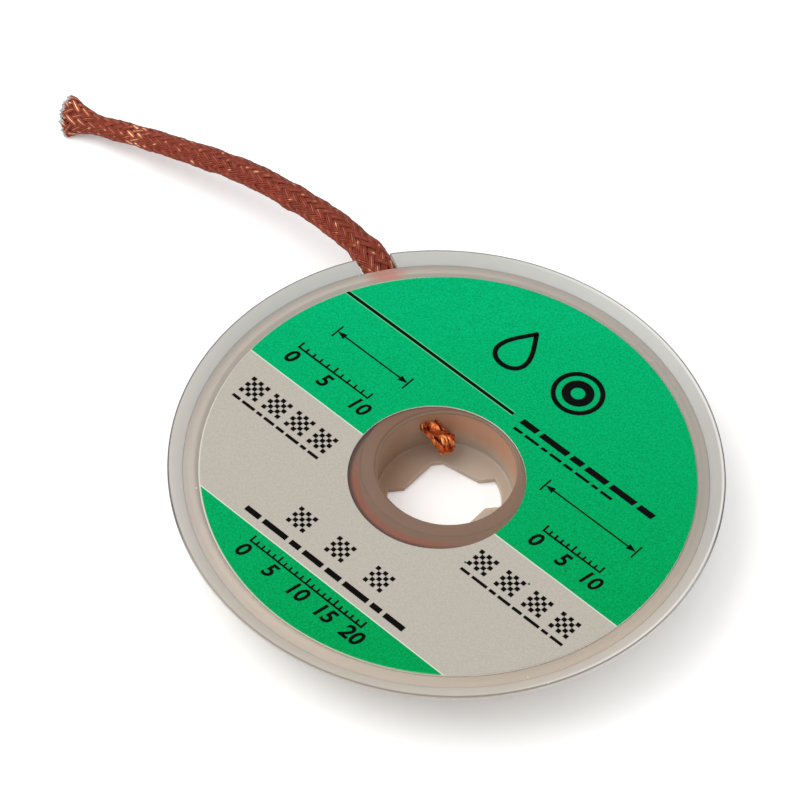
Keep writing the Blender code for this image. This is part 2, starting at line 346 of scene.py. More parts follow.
def make_plastic(name, light, dark, clear, tints, spots=()):
    """Rough transmission for the share `clear`, shallow scattering for part of the rest, cloudy colour.
    A tint is a colour with ramps, each over one value of the place: x, y, z, the distance `r` from the axis,
    or the distance `hole` from the middle of the label's hole. A ramp gives where the tint is full and where
    it is gone, in mm, and the tint shows by their product. A spot is a colour round a point in the plane."""
    made, tree, shader = new_finish(
        name,
        IOR=1.49,
        Transmission_Weight=clear,
        Subsurface_Weight=0.35,
        Subsurface_Scale=0.0015,
    )
    shader.inputs["Subsurface Radius"].default_value = (1.0, 0.8, 0.65)
    place, split = place_of(tree)
    value_of = {"x": split.outputs["X"], "y": split.outputs["Y"], "z": split.outputs["Z"]}
    value_of["r"] = flat_distance(tree, split)
    value_of["hole"] = flat_distance(tree, split, HOLE_CENTRE_MM)
    cloud = place_group(tree, MOTTLE, place, Scale=260.0, Strength=1.3, First_Color=light, Second_Color=dark)
    colour = cloud.outputs["Color"]
    for tint, ramps in tints:
        masks = [ramp_mask(tree, value_of[key], *limits) for key, limits in ramps.items()]
        mask = masks[0]
        for other in masks[1:]:
            mask = maths(tree, "MULTIPLY", mask, other)
        colour = layered(tree, colour, tint, mask)
    for tint, centre_mm, full_mm, none_mm in spots:
        away = flat_distance(tree, split, centre_mm)
        colour = layered(tree, colour, tint, ramp_mask(tree, away, full_mm, none_mm))
    dust = place_group(tree, SPECKS, place, Scale=800.0, Size=0.07, Cover=0.58)
    colour = layered(tree, colour, (0.9, 0.88, 0.85, 1), dust.outputs["Mask"])
    add_surface(tree, shader, colour, cloud.outputs["Height"], 0.34, 0.52)
    add_bump(tree, shader, cloud.outputs["Height"], 0.00004, 0.6)
    return made


# %% The plastic of the dish and of the disc
dish_plastic = make_plastic(
    "dish_plastic", (0.60, 0.59, 0.56, 1), (0.53, 0.52, 0.49, 1), 0.25,
    [
        # painted shade on the right and far sides, painted light on the left and near sides
        ((0.49, 0.475, 0.445, 1), {"x": (22, 6)}),
        ((0.635, 0.615, 0.58, 1), {"x": (-22, -6)}),
        ((0.56, 0.57, 0.545, 1), {"y": (19, 5)}),
        ((0.585, 0.535, 0.475, 1), {"y": (-19, -6)}),
        # the rim's outer edge: a painted highlight line on the right, and a thin line of painted shade round
        # it
        ((0.76, 0.75, 0.73, 1), {"r": (27.2, 27.05), "x": (16, 4)}),
        ((0.07, 0.07, 0.075, 1), {"r": (27.4, 27.28), "z": (6.1, 5.95), "y": (-8, -18)}),
        ((0.30, 0.27, 0.24, 1), {"r": (27.42, 27.34), "z": (6.2, 6.1), "y": (-18, -8)}),
        # the hub, with copper behind it, and its far half
        ((0.226, 0.130, 0.080, 1), {"r": (8.8, 10.5)}),
        ((0.215, 0.105, 0.06, 1), {"r": (8.8, 10.5), "y": (6, 1)}),
        # the bore's wall with a painted glow of copper, and its foot with painted light
        ((0.64, 0.35, 0.215, 1), {"r": (7.1, 7.3), "z": (5.2, 5.5)}),
        ((0.58, 0.48, 0.385, 1), {"r": (7.1, 7.3), "z": (1.2, 3.2)}),
        # its left side with painted shade, and its darker upper edge
        ((0.44, 0.28, 0.185, 1), {"r": (7.1, 7.3), "z": (5.2, 5.5), "x": (-5, 1)}),
        ((0.34, 0.235, 0.16, 1), {"r": (6.98, 7.1), "z": (5.45, 5.25)}),
    ],
)
disc_plastic = make_plastic(
    "disc_plastic", (0.61, 0.545, 0.475, 1), (0.52, 0.455, 0.395, 1), 0.35,
    [
        # painted shade outside the label on the right, and painted light on the near side
        ((0.50, 0.45, 0.39, 1), {"x": (22, 6), "r": (24.8, 24.6)}),
        ((0.66, 0.555, 0.45, 1), {"y": (-19, -4)}),
        # shade beside the rim at the far left, and beside the label's outer edge
        ((0.46, 0.41, 0.36, 1), {"r": (25.8, 25.2), "x": (2, 18), "y": (12, 0)}),
        ((0.45, 0.40, 0.355, 1), {"r": (24.7, 24.9), "y": (-6, -16)}),
        # round the hub, with copper behind it, and its far half
        ((0.252, 0.142, 0.088, 1), {"r": (12, 13)}),
        ((0.235, 0.115, 0.065, 1), {"r": (12, 13), "y": (6, 1)}),
        # a red glow at the near left of the label's hole, and a painted shadow under its edge on the left
        ((0.33, 0.105, 0.06, 1), {"r": (12, 13), "hole": (7.9, 7.55), "x": (-2.5, 1.5), "y": (-2, 1)}),
        ((0.10, 0.045, 0.03, 1), {"r": (12, 13), "hole": (8.55, 8.2), "x": (-3, 2)}),
    ],
    [((0.58, 0.28, 0.22, 1), (-6.1, 24.75), 0.8, 2.6)],
)
print("plastics:", dish_plastic.name, disc_plastic.name)

# %% [markdown]
# ## The dish of the spool
#
# The rear moulding is one turned shape: a flat floor, a wall that leans out to a flared rim, a pocket that
# takes the front disc, and the hub tube in the middle. A moulding never has a razor edge, so each corner of
# the half section is first replaced by a short curve. The section is then carried round the axis.

# %% Rounded outlines and lathe shapes
ROUND_STEPS = 192


def rounded(corners, steps=4):
    """Outline of (radius, height, setback) corners. Each corner becomes a parabola that leaves the outline
    `setback` before the corner and meets it again `setback` after it: (1-t)^2 a + 2t(1-t) c + t^2 b."""
    corners = np.array(corners, float)
    place, setback = corners[:, :2], corners[:, 2:]
    before, after = np.roll(place, 1, 0) - place, np.roll(place, -1, 0) - place
    start = place + before / np.linalg.norm(before, axis=1, keepdims=True) * setback
    end = place + after / np.linalg.norm(after, axis=1, keepdims=True) * setback
    t = np.linspace(0, 1, steps + 1)[None, :, None]
    curve = (1 - t) ** 2 * start[:, None] + 2 * t * (1 - t) * place[:, None] + t**2 * end[:, None]
    return curve.reshape(-1, 2)


def turned(name, outline_mm, smooth_degrees=30.0, steps=ROUND_STEPS):
    """Carry a closed (radius, height) outline round Z: x = r cos a, y = r sin a, z = h."""
    angle = np.linspace(0, math.tau, steps, endpoint=False)[:, None]
    radius, height = outline_mm[None, :, 0] * MM, outline_mm[None, :, 1] * MM
    grid = np.stack(np.broadcast_arrays(radius * np.cos(angle), radius * np.sin(angle), height), -1)
    index = np.arange(grid.shape[0] * grid.shape[1]).reshape(grid.shape[:2])
    return new_mesh(name, grid, [joined(index, True, True)], smooth_degrees)


# %% [markdown]
# ### Openings in the dish
#
# The hub's floor has a keyed opening for a holder's spindle. The rim has a dip where the free end lies, and
# the hub's wall has a small window for the inner end. Worked into the grid they would spoil its plain lathe
# shape, so each is a prism that an exact Boolean cuts away. The cutters are then removed, and the result is
# kept as a plain mesh.

# %% Prisms and cuts


def prism(name, outline, axis_from, axis_to):
    """A closed prism: the flat outline (n, 3) at its place, moved to two offsets and joined round."""
    rings = np.stack([outline + axis_from, outline + axis_to])
    index = np.arange(rings.shape[0] * rings.shape[1]).reshape(rings.shape[:2])
    return new_mesh(name, rings, [joined(index, False, True), index[:1, ::-1], index[1:]])


def cut_and_keep(mesh, cutters):
    """Cut each cutter out of the mesh with exact Booleans and return the plain resulting mesh."""
    body = bpy.data.objects.new(mesh.name + "_body", mesh)
    bpy.context.scene.collection.objects.link(body)
    tools = []
    for cutter in cutters:
        tool = bpy.data.objects.new(cutter.name, cutter)
        bpy.context.scene.collection.objects.link(tool)
        modifier = body.modifiers.new(cutter.name, "BOOLEAN")
        modifier.operation, modifier.solver, modifier.object = "DIFFERENCE", "EXACT", tool
        tools.append(tool)
    graph = bpy.context.evaluated_depsgraph_get()
    made = bpy.data.meshes.new_from_object(body.evaluated_get(graph))
    made.name = mesh.name
    for used in [body, *tools]:
        bpy.data.objects.remove(used, do_unlink=True)
    made.shade_smooth()
    made.set_sharp_from_angle(angle=math.radians(28))
    return made


def turned_by(points, degrees, shift=(0.0, 0.0)):
    """Points turned about Z by an angle, then moved in the plane."""
    c, s = math.cos(math.radians(degrees)), math.sin(math.radians(degrees))
    return points @ np.array([[c, s, 0], [-s, c, 0], [0, 0, 1]]) + np.array([*shift, 0.0])


# %% The key opening in the hub's floor
KEY_ANGLE = 8.5


def key_outline_mm():
    """Two slots with round ends on a line through the axis, and sloping sides up to two short flats. The
    lengths are half the slots' width, their reach, where they meet the slopes, and the flats' place and half
    width."""
    half, reach, shoulder, apex, apex_half = 1.78, 5.7, 3.8, 4.55, 0.6
    arc = np.linspace(-1, 1, 9) * math.asin(half / reach)
    tip = np.stack([reach * np.cos(arc), reach * np.sin(arc)], 1)
    right = np.vstack([[apex_half, -apex], [shoulder, -half], tip, [shoulder, half], [apex_half, apex]])
    return np.vstack([right, -right])


key = key_outline_mm()
key_flat = turned_by(np.column_stack([key, np.zeros(len(key))]), KEY_ANGLE) * MM
key_cutter = prism("key_cutter", key_flat, (0, 0, -0.001), (0, 0, 0.0011))
print("key opening spans", np.round(np.ptp(key_flat, axis=0)[:2] / MM, 2), "mm")

# %% The dip for the free end and the slot for the inner end
DIP_PLACE_MM = (-7.5, 26.5)
EXIT_HEADING = 122.0
HOOK_ANGLE = 111.5


def channel_section(width, low, high, corner):
    """Upright section of a channel in its own Y and Z, its two lower corners rounded."""
    half = width / 2
    outline = rounded([(-half, low, corner), (half, low, corner), (half, high, 0.01), (-half, high, 0.01)])
    return np.column_stack([np.zeros(len(outline)), outline])


dip = turned_by(channel_section(3.6, 3.9, 8.0, 0.5), EXIT_HEADING, DIP_PLACE_MM) * MM
along = np.array([math.cos(math.radians(EXIT_HEADING)), math.sin(math.radians(EXIT_HEADING)), 0.0])
dip_cutter = prism("dip_cutter", dip, -4.0 * MM * along, 4.0 * MM * along)
window = turned_by(channel_section(1.9, -0.55, 0.6, 0.3) - (0, 0.95, 0), HOOK_ANGLE) * MM
outwards = np.array([math.cos(math.radians(HOOK_ANGLE)), math.sin(math.radians(HOOK_ANGLE)), 0.0])
inner_mouth = 5.9 * outwards + (0, 0, 3.75)
outer_mouth = 9.5 * outwards + (0, 0, 3.45)
window_cutter = prism("window_cutter", window, inner_mouth * MM, outer_mouth * MM)
print("dip at", DIP_PLACE_MM, "mm, window at", HOOK_ANGLE, "degrees")

# %% The dish itself
DISH_SECTION = [
    (1.78, 0.0, 0.02), (23.05, 0.0, 0.25), (26.75, 4.7, 0.5), (27.5, 5.8, 0.22), (27.5, 6.4, 0.24),
    (26.0, 5.6, 0.05), (26.0, 4.7, 0.1), (25.3, 4.7, 0.1), (22.85, 0.6, 0.5), (9.2, 0.6, 0.3),
    (9.2, 4.7, 0.1), (8.5, 4.7, 0.08), (8.5, 5.8, 0.005), (7.2, 5.8, 0.14), (6.9, 5.5, 0.14),
    (6.9, 0.6, 0.3), (1.78, 0.6, 0.02),
]
dish_mesh = cut_and_keep(
    turned("dish_moulding", rounded(DISH_SECTION)), [key_cutter, dip_cutter, window_cutter]
)
dish = new_piece("dish_moulding", dish_mesh, dish_plastic, "spool_dish", slot="spool_plastic")

# %% [markdown]
# ## The front disc
#
# A thin disc closes the winding space. It lies in the dish's pocket and goes round the hub, and its outer
# edge is bevelled, which shows as a thin line halfway between the rim and the label.

# %% Front disc
DISC_SECTION = [
    (8.505, 5.0, 0.08), (25.99, 5.0, 0.12), (25.99, 5.58, 0.02), (25.45, 5.63, 0.12),
    (25.0, 5.8, 0.12), (8.505, 5.8, 0.005),
]
disc = new_piece(
    "disc_moulding",
    turned("disc_moulding", rounded(DISC_SECTION)),
    disc_plastic,
    "front_disc",
    slot="spool_plastic",
)

# %% [markdown]
# ## The paper label
#
# The label is a ring of coated paper. Its hole was punched off centre, so the ring is narrower towards the
# near left. Its print is two green fields with a pale band between them and one black rule. The sheet is
# worked out on a grid: one parameter goes round, and the other goes from the hole's circle to the outer one.

# %% Label sheet
LABEL_HOLE_MM, LABEL_RADIUS_MM, LABEL_CENTRE_MM = 8.8, 24.5, (0.12, -0.36)
LABEL_LOW_MM, LABEL_TOP_MM = 5.82, 6.0
LABEL_ROWS, LABEL_STEPS = 25, 240


def label_points(share, angle):
    """Straight blend of the hole's circle and the outer one: p = (1 - s) (c + r u) + s (C + R u), with u =
    (cos a, sin a). R wavers by 0.07 sin(3a + 1.1) cos(a + 0.4) mm, because paper isn't cut quite round."""
    ring = np.stack([np.cos(angle), np.sin(angle)], -1)
    hole = np.array(HOLE_CENTRE_MM) + LABEL_HOLE_MM * ring
    radius = LABEL_RADIUS_MM + 0.07 * np.sin(3 * angle + 1.1) * np.cos(angle + 0.4)
    rim = np.array(LABEL_CENTRE_MM) + radius[..., None] * ring
    return (1 - share[..., None]) * hole + share[..., None] * rim


def label_mesh():
    """Top and underside of the sheet as one grid that closes round the paper's edge and round the ring.
    The top is lifted by slow waves of 0.02 mm, as paper over glue never lies quite flat."""
    share = np.linspace(0, 1, LABEL_ROWS)
    share = np.concatenate([share, share[::-1]])
    angle = np.linspace(0, math.tau, LABEL_STEPS, endpoint=False)
    angle, share = np.meshgrid(angle, share, indexing="ij")
    flat = label_points(share, angle)
    is_top = np.arange(2 * LABEL_ROWS) < LABEL_ROWS
    wave = 0.012 * np.sin(3 * angle + 5 * share) + 0.008 * np.sin(7 * angle - 9 * share)
    height = np.where(is_top[None, :], LABEL_TOP_MM + wave, LABEL_LOW_MM)
    grid = np.concatenate([flat, height[..., None]], -1) * MM
    index = np.arange(grid.shape[0] * grid.shape[1]).reshape(grid.shape[:2])
    return new_mesh("label_sheet", grid, [joined(index, True, True)])


# %% [markdown]
# ### The print on the label
#
# The borders between the colours are straight and run at a slant across the label. A Mapping node turns the
# object's coordinates until they run level, and the turned Y then says which field a point is in. Offset
# print leaves a thin pale line where two inks don't quite meet, and the solid green is finely mottled, with
# painted light that makes it lighter at the far side and painted shade that darkens it at the near side. The
# cut edge of the paper shows its white core, which is picked out by height, and on the left a painted
# highlight picks out the outer edge of the print.

# %% Fields and rule of the print
PRINT_ANGLE = -42.6
RULE_MM, RULE_END_MM, GREEN_EDGE_MM, CHORD_MM = 9.36, 0.5, -3.0, -18.65
OFF_THE_LABEL_MM = 30
FINE_GRAIN = 5200.0
PALE_BORDER = (0.62, 0.66, 0.58, 1)


def between(tree, value, low, high):
    """1 where the value lies between two limits, else 0, with an edge 0.04 mm wide."""
    middle, half = (low + high) / 2, (high - low) / 2
    away = maths(tree, "ABSOLUTE", maths(tree, "SUBTRACT", value, middle * MM))
    return ramp_mask(tree, away, half - 0.02, half + 0.02)


def green_print(tree, place, nearness):
    """Finely mottled green, with painted light that makes it lighter and bluer at the far side and painted
    shade that makes it darker and yellower at the near side.
    """
    light = layered(tree, (0.0, 0.44, 0.175, 1), (0.0, 0.345, 0.095, 1), nearness)
    dark = layered(tree, (0.0, 0.285, 0.09, 1), (0.0, 0.215, 0.045, 1), nearness)
    return place_group(
        tree, MOTTLE, place, Scale=FINE_GRAIN, Strength=3.4, First_Color=light, Second_Color=dark
    )


def fields_and_rule(tree, paper, green, level, length):
    """Pale paper, green fields, pale lines along their borders and the black rule, in that order."""
    colour = layered(tree, paper, green, between(tree, level, GREEN_EDGE_MM, OFF_THE_LABEL_MM))
    colour = layered(tree, colour, green, between(tree, level, -OFF_THE_LABEL_MM, CHORD_MM))
    for low, high in ((GREEN_EDGE_MM - 0.04, GREEN_EDGE_MM + 0.06), (CHORD_MM - 0.06, CHORD_MM + 0.04)):
        colour = layered(tree, colour, PALE_BORDER, between(tree, level, low, high))
    rule_reach = between(tree, length, -OFF_THE_LABEL_MM, RULE_END_MM)
    for half, ink in ((0.28, (0.10, 0.50, 0.22, 1)), (0.19, (0.004, 0.004, 0.004, 1))):
        across = between(tree, level, RULE_MM - half, RULE_MM + half)
        colour = layered(tree, colour, ink, maths(tree, "MULTIPLY", across, rule_reach))
    return colour


# %% Cut edges and the whole print


def with_cut_edges(tree, colour, straight):
    """The white core on the cut edges, and a painted highlight along the outer edge of the print on the
    left.
    """
    is_edge = maths(tree, "LESS_THAN", straight.outputs["Z"], (LABEL_TOP_MM - 0.03) * MM)
    colour = layered(tree, colour, (0.9, 0.89, 0.87, 1), is_edge)
    away = flat_distance(tree, straight, LABEL_CENTRE_MM)
    outer_edge = ramp_mask(tree, away, LABEL_RADIUS_MM - 0.04, LABEL_RADIUS_MM - 0.12)
    on_left = ramp_mask(tree, straight.outputs["X"], -12.0, 2.0)
    return layered(tree, colour, (0.58, 0.56, 0.49, 1), maths(tree, "MULTIPLY", outer_edge, on_left))


def make_label_print():
    """The fields, a few specks of ink and the cut edges, with the paper's grain as a very shallow bump."""
    made, tree, shader = new_finish("label_print", Specular_IOR_Level=0.02)
    place, straight = place_of(tree)
    turn = add_node(
        tree, "ShaderNodeMapping", {"vector_type": "POINT"},
        {"Vector": place, "Rotation": (0, 0, -math.radians(PRINT_ANGLE))},
    )
    level = add_node(tree, "ShaderNodeSeparateXYZ", None, {"Vector": turn.outputs["Vector"]})
    paper = place_group(
        tree, MOTTLE, place, Scale=FINE_GRAIN, Strength=2.6,
        First_Color=(0.45, 0.415, 0.365, 1), Second_Color=(0.375, 0.345, 0.30, 1),
    )
    green = green_print(tree, place, ramp_mask(tree, straight.outputs["Y"], -22.0, 20.0))
    inks = paper.outputs["Color"], green.outputs["Color"]
    colour = fields_and_rule(tree, *inks, level.outputs["Y"], level.outputs["X"])
    specks = place_group(tree, SPECKS, place, Scale=380.0, Size=0.05, Cover=0.62)
    colour = layered(tree, colour, (0.02, 0.12, 0.06, 1), specks.outputs["Mask"])
    colour = with_cut_edges(tree, colour, straight)
    add_surface(tree, shader, colour, green.outputs["Height"], 0.42, 0.6)
    add_bump(tree, shader, paper.outputs["Height"], 0.00002, 0.5)
    return made


label = new_piece("label_sheet", label_mesh(), make_label_print(), "label", slot="label_paper")

# %% [markdown]
# ### Black ink
#
# The label carries plain black marks: arrows that span a distance, a ruler's ticks and numbers, small
# chequered squares, rows of bars and two simple figures. They could be one more mask in the shader, but an
# outline that stands on the paper stays crisp from any distance. So each mark is an outline in the print's
# own level coordinates, across and up, and becomes a film of ink a few hundredths of a millimetre thick.

# %% Outlines of the marks
INK_LOW_MM, INK_TOP_MM = 5.97, 6.03


def slanted_bars(across, up, slant=0.0):
    """Four corners of each bar: across and up hold (n, 2) limits, and a corner moves sideways by slant times
    its height above the bar's foot."""
    across, up = np.atleast_2d(across).astype(float), np.atleast_2d(up).astype(float)
    lean = slant * (up[:, 1] - up[:, 0])
    corners = [
        (across[:, 0], up[:, 0]), (across[:, 1], up[:, 0]),
        (across[:, 1] + lean, up[:, 1]), (across[:, 0] + lean, up[:, 1]),
    ]
    return np.stack([np.stack(corner, -1) for corner in corners], 1)


def distance_arrow(left, right, up):
    """A level line with an arrow head and an upright tick at each end. The lengths are half the ticks'
    height, the lines' width, and the heads' length and half height."""
    half, line, head, barb = 0.85, 0.16, 1.15, 0.36
    bars = slanted_bars(
        [(left, left + line), (right - line, right), (left + head, right - head)],
        [(up - half, up + half), (up - half, up + half), (up - line / 2, up + line / 2)],
    )
    heads = np.array([
        [(left + line, up), (left + head, up - barb), (left + head, up + barb)],
        [(right - line, up), (right - head, up + barb), (right - head, up - barb)],
    ])
    return [bars, heads]


def row_of_bars(left, right, foot, height, lengths, gap, slant=0.0):
    """Bars of the given lengths one after another, scaled so that they and their gaps fill the row."""
    lengths = np.array(lengths, float)
    lengths *= (right - left - gap * (len(lengths) - 1)) / lengths.sum()
    start = left + np.concatenate([[0], np.cumsum(lengths[:-1] + gap)])
    across = np.stack([start, start + lengths], 1)
    return slanted_bars(across, np.tile([foot, foot + height], (len(start), 1)), slant)


def ticks(left, right, foot, steps):
    """A ruler's ticks on a level line: every fifth is long."""
    long, short, width = 0.7, 0.42, 0.19
    place = np.linspace(left, right - width, steps + 1)
    top = foot + np.where(np.arange(steps + 1) % 5 == 0, long, short)
    bars = slanted_bars(np.stack([place, place + width], 1), np.stack([np.full(steps + 1, foot), top], 1))
    return [bars, slanted_bars((left, right), (foot - width, foot))]


def check(left, foot):
    """A weaver's sign for plain weave, a chequered square: of five by five cells, (i, j) is inked if i + j
    is even."""
    cell, count = 0.46, 5
    i, j = (grid.ravel() for grid in np.meshgrid(np.arange(count), np.arange(count), indexing="ij"))
    inked = (i + j) % 2 == 0
    x, y = left + cell * i[inked], foot + cell * j[inked]
    side = 0.97 * cell
    return [slanted_bars(np.stack([x, x + side], 1), np.stack([y, y + side], 1))]


# %% Stroked curves and the ink's mesh


def stroke(curve, width):
    """Section corners along a closed curve: half the width to each side of it, at the ink's foot and top."""
    forward = unit(np.roll(curve, -1, 0) - np.roll(curve, 1, 0))
    normal = np.stack([forward[:, 1], -forward[:, 0]], 1) * width / 2
    outer, inner = curve + normal, curve - normal
    low, top = np.full((len(curve), 1), INK_LOW_MM), np.full((len(curve), 1), INK_TOP_MM)
    corners = ((outer, low), (outer, top), (inner, top), (inner, low))
    return np.stack([np.hstack(corner) for corner in corners], 1)


def ring_curve(centre, radius, steps=48):
    """A circle, anticlockwise."""
    angle = np.linspace(0, math.tau, steps, endpoint=False)
    return np.array(centre) + radius * np.stack([np.cos(angle), np.sin(angle)], 1)


def drop_curve(centre, radius, steps=64):
    """A falling drop: across = r cos a * ((1 - sin a) / 2) ** 0.7, up = 1.35 r sin a."""
    angle = np.linspace(-math.pi / 2, 1.5 * math.pi, steps, endpoint=False) + 0.01
    narrow = ((1 - np.sin(angle)) / 2 + 0.004) ** 0.7
    return np.array(centre) + radius * np.stack([1.25 * np.cos(angle) * narrow, 1.35 * np.sin(angle)], 1)


def ink_mesh(flat_groups, strokes):
    """Films of ink: each outline becomes a low prism, and each stroked curve a low closed band."""
    points, faces, first = [], [], 0
    for group in flat_groups:
        shape = (len(group), 2, group.shape[1])
        level = np.broadcast_to(np.array([INK_LOW_MM, INK_TOP_MM])[None, :, None, None], (*shape, 1))
        rings = np.concatenate([np.broadcast_to(group[:, None], (*shape, 2)), level], -1)
        index = first + np.arange(rings[..., 0].size).reshape(rings.shape[:3])
        faces += [joined(index, False, True), index[:, 0, ::-1], index[:, 1]]
        points.append(rings.reshape(-1, 3))
        first += index.size
    for band in strokes:
        index = first + np.arange(band[..., 0].size).reshape(band.shape[:2])
        faces.append(joined(index, True, True)[:, ::-1])
        points.append(band.reshape(-1, 3))
        first += index.size
    return new_mesh("label_marks", turned_by(np.vstack(points), PRINT_ANGLE) * MM, faces)


# %% The marks in their places
ink, ink_tree, ink_shader = new_finish("black_ink", Roughness=0.6, Specular_IOR_Level=0.03)
ink_place, _ = place_of(ink_tree)
ink_tone = place_group(
    ink_tree, MOTTLE, ink_place, Scale=4200.0, Strength=1.5,
    First_Color=(0.001, 0.001, 0.001, 1), Second_Color=(0.004, 0.004, 0.004, 1),
)
ink_tree.links.new(ink_tone.outputs["Color"], ink_shader.inputs["Base Color"])

SIX_BARS, EIGHT_BARS = [2, 3.4, 1.4, 2.6, 3, 1.8], [3, 5, 2, 4, 3, 5, 2, 4]
marks = [
    *distance_arrow(-19.4, -9.6, 4.85),
    *distance_arrow(8.5, 20.4, 4.95),
    *ticks(-20.8, -11.2, 0.75, 10),
    *ticks(12.0, 19.4, 0.75, 10),
    *ticks(-7.6, 7.2, -19.95, 20),
    row_of_bars(1.6, 18.7, 8.95, 0.7, SIX_BARS, 0.5, 0.2),
    row_of_bars(1.6, 14.4, 7.95, 0.32, EIGHT_BARS, 0.4, 0.2),
    row_of_bars(-21.3, -9.7, -8.45, 0.32, EIGHT_BARS, 0.35),
    row_of_bars(9.3, 22.3, -8.45, 0.32, EIGHT_BARS, 0.35),
    row_of_bars(-10.6, 10.2, -17.75, 0.62, EIGHT_BARS, 0.5),
]
for check_left, check_foot in (
    (-21.3, -7.5), (-18.2, -7.5), (-15.1, -7.5), (-12.0, -7.5),
    (9.3, -7.5), (12.8, -7.5), (16.3, -7.5), (19.8, -7.5),
    (-6.8, -15.9), (-1.7, -15.9), (3.4, -15.9),
):
    marks += check(check_left, check_foot)
figures = [
    stroke(drop_curve((-4.6, 16.0), 2.0), 0.5),
    stroke(ring_curve((3.4, 15.8), 2.5), 0.5),
    stroke(ring_curve((3.4, 15.8), 1.2), 0.9),
]
label_marks = new_piece("label_marks", ink_mesh(marks, figures), ink, slot="label_paper")

# %% [markdown]
# ### Plain numbers
#
# The ruled scales carry plain numbers. Their outlines come from Blender's built-in font, which saves drawing
# each one as a curve. The text is made a mesh first, and then its points are put in their place, so that the
# finished piece lies unturned at the origin as all the others do.

# %% Numbers under the ticks
NUMBER_SIZE_MM = 2.3
NUMBERS = [
    ("0", -20.5, -1.45), ("5", -16.0, -1.45), ("10", -11.3, -1.45),
    ("0", 12.2, -1.45), ("5", 15.7, -1.45), ("10", 19.2, -1.45),
    ("0", -7.4, -22.05), ("5", -3.8, -22.05), ("10", -0.2, -22.05), ("15", 3.4, -22.05), ("20", 7.0, -22.05),
]


def numeral_mesh(text):
    """A short number as a closed mesh at the origin, its doubles merged."""
    letters = bpy.data.curves.new("numeral", "FONT")
    letters.body, letters.size, letters.align_x = text, NUMBER_SIZE_MM, "CENTER"
    letters.extrude, letters.resolution_u = 0.03, 3
    letters.shear, letters.offset = 0.18, 0.055
    holder = bpy.data.objects.new("numeral", letters)
    bpy.context.scene.collection.objects.link(holder)
    made = bpy.data.meshes.new_from_object(holder.evaluated_get(bpy.context.evaluated_depsgraph_get()))
    bpy.data.objects.remove(holder, do_unlink=True)
    surface = bmesh.new()
    surface.from_mesh(made)
    bmesh.ops.remove_doubles(surface, verts=surface.verts, dist=1e-4)
    surface.to_mesh(made)
    surface.free()
    return made


def plain_arrays(mesh):
    """A mesh's points (n, 3) and, for each of its faces, the numbers of its points."""
    points = np.empty(3 * len(mesh.vertices), np.float32)
    mesh.vertices.foreach_get("co", points)
    corners = np.empty(len(mesh.loops), np.int32)
    mesh.loops.foreach_get("vertex_index", corners)
    sizes = np.empty(len(mesh.polygons), np.int32)
    mesh.polygons.foreach_get("loop_total", sizes)
    return points.reshape(-1, 3).astype(float), np.split(corners, np.cumsum(sizes)[:-1])


def number_mesh(entries):
    """All numbers as one mesh: points moved to (across, up), turned with the print and lifted onto it."""
    points, faces, first = [], [], 0
    for text, across, up in entries:
        place, corners = plain_arrays(numeral_mesh(text))
        faces += [(first + face).tolist() for face in corners]
        points.append(place + (across, up, (INK_LOW_MM + INK_TOP_MM) / 2))
        first += len(place)
    mesh = bpy.data.meshes.new("label_numbers")
    mesh.from_pydata((turned_by(np.vstack(points), PRINT_ANGLE) * MM).tolist(), [], faces)
    mesh.validate()
    return mesh


label_numbers = new_piece("label_numbers", number_mesh(NUMBERS), ink, slot="label_paper")

# %% [markdown]
# ## Copper wire
#
# The wire is bare copper under a coat of flux, so most of it is dull red-brown, and it is bright orange
# where bending or cutting has taken the coat off. The bright copper also stands for the lamp's glints,
# which are painted: thin bright lines along the crests of the wires. An attribute that is worked out with
# each strand says how much wear and painted glint each spot has. A second one marks the ends that solder
# has turned silver.

# %% Copper finish
SOLDER_SILVER = (0.42, 0.42, 0.41, 1)


def make_copper(name, dull, bright, patches, patch_scale):
    """Dull to bright copper by an attribute of wear and painted glints, in patches of noise between two
    limits, and silver where `tinned` is 1. The dull coat is a coarse and a fine mottle mixed nearly half and
    half."""
    made, tree, shader = new_finish(name, Metallic=0.85)
    place, _ = place_of(tree)
    wear_and_glint = add_node(tree, "ShaderNodeAttribute", {"attribute_name": "wear_and_glint"}).outputs["Fac"]
    tinned = add_node(tree, "ShaderNodeAttribute", {"attribute_name": "tinned"}).outputs["Fac"]
    darker = tuple(0.55 * c for c in dull[:3]) + (1,)
    coarse = place_group(
        tree, MOTTLE, place, Scale=1400.0, Strength=2.4, First_Color=dull, Second_Color=darker
    )
    ruddy = (1.3 * dull[0], 1.3 * dull[1], 1.6 * dull[2], 1)
    brown = (0.45 * dull[0], 0.6 * dull[1], 0.5 * dull[2], 1)
    fine = place_group(
        tree, MOTTLE, place, Scale=FINE_GRAIN, Strength=3.0, First_Color=ruddy, Second_Color=brown
    )
    coat = layered(tree, coarse.outputs["Color"], fine.outputs["Color"], 0.45)
    cloud = {"Vector": place, "Scale": patch_scale, "Detail": 2.0}
    patch = add_node(tree, "ShaderNodeTexNoise", None, cloud).outputs["Fac"]
    spread = add_node(tree, "ShaderNodeMapRange", None, {"Value": patch, 1: patches[0], 2: patches[1]})
    # the share of bright copper: partly wear, partly painted glints
    wear_and_glint_share = maths(tree, "MULTIPLY", spread.outputs["Result"], wear_and_glint)
    colour = layered(tree, coat, bright, wear_and_glint_share)
    colour = layered(tree, colour, SOLDER_SILVER, tinned)
    add_surface(tree, shader, colour, wear_and_glint_share, 0.5, 0.26)
    return made


